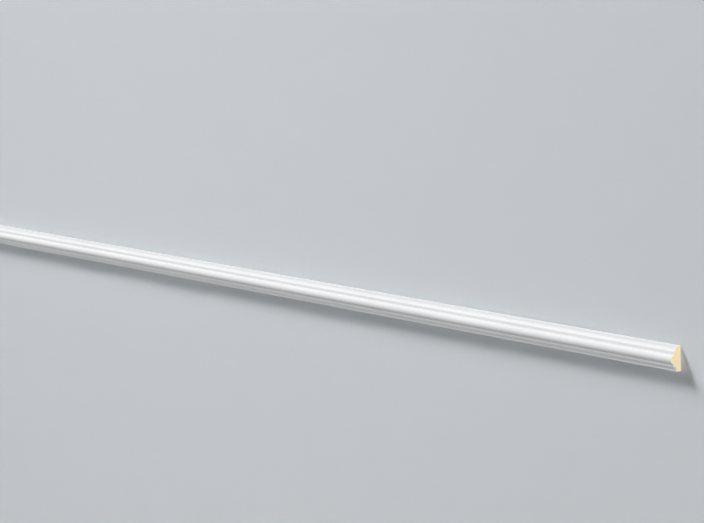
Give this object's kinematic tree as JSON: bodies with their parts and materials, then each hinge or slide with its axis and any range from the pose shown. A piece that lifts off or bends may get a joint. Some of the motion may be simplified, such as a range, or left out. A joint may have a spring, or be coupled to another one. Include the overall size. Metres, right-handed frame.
{
  "type": "trim strip",
  "caption": "Slim straight panel moulding with a thin lip, hollow cove, flat ledge, rounded bead and stepped fillets on a flat back, cut square at both ends.",
  "frame": {"origin": "middle of the flat back face, half way along the strip", "axes": "+X along the strip, +Y across the back towards the thin lip, +Z out from the back towards the moulded face"},
  "size_m": [2, 0.02, 0.01],
  "materials": {
    "primed_foam": "matt white primer on hard polyurethane foam; the cut ends show pale yellow foam"
  },
  "bodies": {
    "root": {"trim_strip": "primed_foam"}
  },
  "joints": []
}
